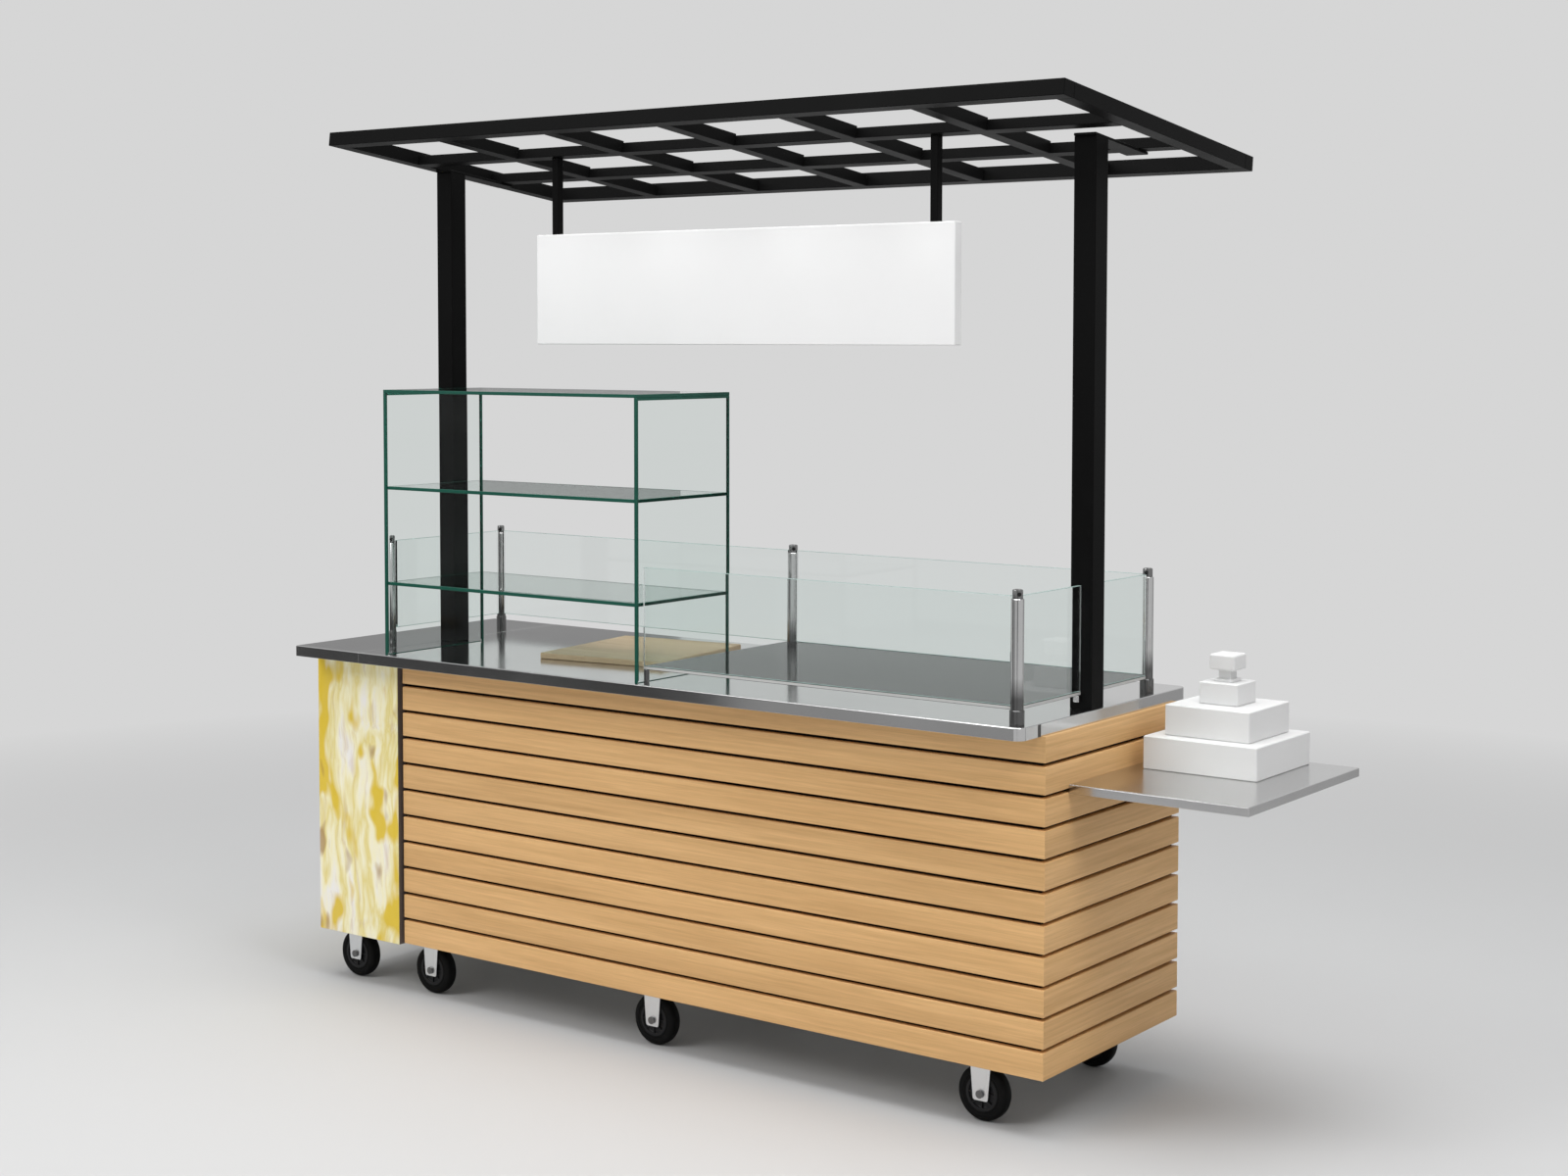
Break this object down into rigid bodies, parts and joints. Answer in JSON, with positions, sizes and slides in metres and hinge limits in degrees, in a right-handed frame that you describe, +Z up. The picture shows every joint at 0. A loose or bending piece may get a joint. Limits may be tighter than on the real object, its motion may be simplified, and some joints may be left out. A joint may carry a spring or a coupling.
{
  "type": "crepe cart",
  "caption": "Wheeled food cart: slatted wooden cabinet with a steel worktop, glass display case and guard, side shelf, open grid canopy and blank hanging sign.",
  "frame": {"origin": "on the floor, under the middle of the overall length and depth", "axes": "+X to the right along the front, +Y to the back, +Z up"},
  "size_m": [2.64, 0.868, 2.2274],
  "materials": {
    "steel_top": "satin, smooth",
    "slat_wood": "fine straight grain, matt lacquer",
    "dark_board": "black laminate",
    "inner_board": "light grey laminate",
    "rear_board": "wood laminate",
    "printed_panel": "printed in soft yellow, white and brown",
    "track_aluminium": "extruded",
    "serving_wood": "oiled",
    "glass": "clear with green edges",
    "post_chrome": "polished",
    "hot_plate": "dark grey glass, smooth",
    "post_fitting": "dark grey satin",
    "black_steel": "black powder coat",
    "sign_white": "matt white, blank",
    "block_white": "white, satin",
    "zinc_steel": "zinc plated",
    "wheel_rubber": "black rubber tyre on a dark hub"
  },
  "bodies": {
    "cart": {"bay_back_panel": "rear_board", "bay_divider": "dark_board", "bay_end_panel": "printed_panel", "bay_front_panel": "printed_panel", "cabinet_floor": "inner_board", "canopy_head_plates": "black_steel", "canopy_post_left": "black_steel", "canopy_post_right": "black_steel", "case_end_panes": "glass", "case_shelves": "glass", "case_top_pane": "glass", "caster_plates": "zinc_steel", "centre_divider": "inner_board", "door_tracks": "track_aluminium", "end_slats": "slat_wood", "front_board": "dark_board", "front_slats": "slat_wood", "griddle_plate": "hot_plate", "guard_caps": "post_fitting", "guard_end_panes": "glass", "guard_front_pane": "glass", "guard_left_pane": "glass", "guard_posts": "post_chrome", "guard_rear_panes": "glass", "inner_shelves": "inner_board", "pane_clips": "post_fitting", "right_end_board": "dark_board", "rigid_caster_forks": "zinc_steel", "roof_cross_bars": "black_steel", "roof_end_beams": "black_steel", "roof_front_beam": "black_steel", "roof_long_bars": "black_steel", "roof_rear_beam": "black_steel", "serving_board": "serving_wood", "shelf_arms": "black_steel", "side_shelf": "steel_top", "sign_board": "sign_white", "sign_hangers": "black_steel", "tier_base": "block_white", "tier_middle": "block_white", "tier_upper": "block_white", "top_rails": "inner_board", "topper_box": "block_white", "worktop_left": "steel_top", "worktop_main": "steel_top"},
    "swivel_1": {"swivel_fork_1": "zinc_steel"},
    "swivel_2": {"swivel_fork_2": "zinc_steel"},
    "swivel_3": {"swivel_fork_3": "zinc_steel"},
    "swivel_4": {"swivel_fork_4": "zinc_steel"},
    "wheel_1": {"wheel_1": "wheel_rubber"},
    "wheel_2": {"wheel_2": "wheel_rubber"},
    "wheel_3": {"wheel_3": "wheel_rubber"},
    "wheel_4": {"wheel_4": "wheel_rubber"},
    "wheel_5": {"wheel_5": "wheel_rubber"},
    "wheel_6": {"wheel_6": "wheel_rubber"},
    "wheel_7": {"wheel_7": "wheel_rubber"},
    "wheel_8": {"wheel_8": "wheel_rubber"},
    "rear_door_left": {"rear_door_left": "rear_board"},
    "rear_door_right": {"rear_door_right": "rear_board"}
  },
  "joints": [
    {"name": "rear_door_left_slide", "type": "slide", "parent": "cart", "child": "rear_door_left", "axis": [1, 0, 0], "range_m": [0, 0.913]},
    {"name": "rear_door_right_slide", "type": "slide", "parent": "cart", "child": "rear_door_right", "axis": [-1, 0, 0], "range_m": [0, 0.913]},
    {"name": "swivel_1_turn", "type": "hinge", "parent": "cart", "child": "swivel_1", "pos_m": [-1.23, -0.225, 0.146], "axis": [0, 0, 1], "continuous": true},
    {"name": "wheel_1_spin", "type": "hinge", "parent": "swivel_1", "child": "wheel_1", "pos_m": [-1.244, -0.225, 0.0625], "axis": [0, 1, 0], "continuous": true},
    {"name": "swivel_2_turn", "type": "hinge", "parent": "cart", "child": "swivel_2", "pos_m": [-1.23, 0.255, 0.146], "axis": [0, 0, 1], "continuous": true},
    {"name": "wheel_2_spin", "type": "hinge", "parent": "swivel_2", "child": "wheel_2", "pos_m": [-1.244, 0.255, 0.0625], "axis": [0, 1, 0], "continuous": true},
    {"name": "wheel_3_spin", "type": "hinge", "parent": "cart", "child": "wheel_3", "pos_m": [-0.962, -0.225, 0.0625], "axis": [0, 1, 0], "continuous": true},
    {"name": "wheel_4_spin", "type": "hinge", "parent": "cart", "child": "wheel_4", "pos_m": [-0.962, 0.255, 0.0625], "axis": [0, 1, 0], "continuous": true},
    {"name": "wheel_5_spin", "type": "hinge", "parent": "cart", "child": "wheel_5", "pos_m": [-0.212, -0.225, 0.0625], "axis": [0, 1, 0], "continuous": true},
    {"name": "wheel_6_spin", "type": "hinge", "parent": "cart", "child": "wheel_6", "pos_m": [-0.212, 0.255, 0.0625], "axis": [0, 1, 0], "continuous": true},
    {"name": "swivel_3_turn", "type": "hinge", "parent": "cart", "child": "swivel_3", "pos_m": [0.732, -0.225, 0.146], "axis": [0, 0, 1], "continuous": true},
    {"name": "wheel_7_spin", "type": "hinge", "parent": "swivel_3", "child": "wheel_7", "pos_m": [0.718, -0.225, 0.0625], "axis": [0, 1, 0], "continuous": true},
    {"name": "swivel_4_turn", "type": "hinge", "parent": "cart", "child": "swivel_4", "pos_m": [0.732, 0.255, 0.146], "axis": [0, 0, 1], "continuous": true},
    {"name": "wheel_8_spin", "type": "hinge", "parent": "swivel_4", "child": "wheel_8", "pos_m": [0.718, 0.255, 0.0625], "axis": [0, 1, 0], "continuous": true}
  ]
}
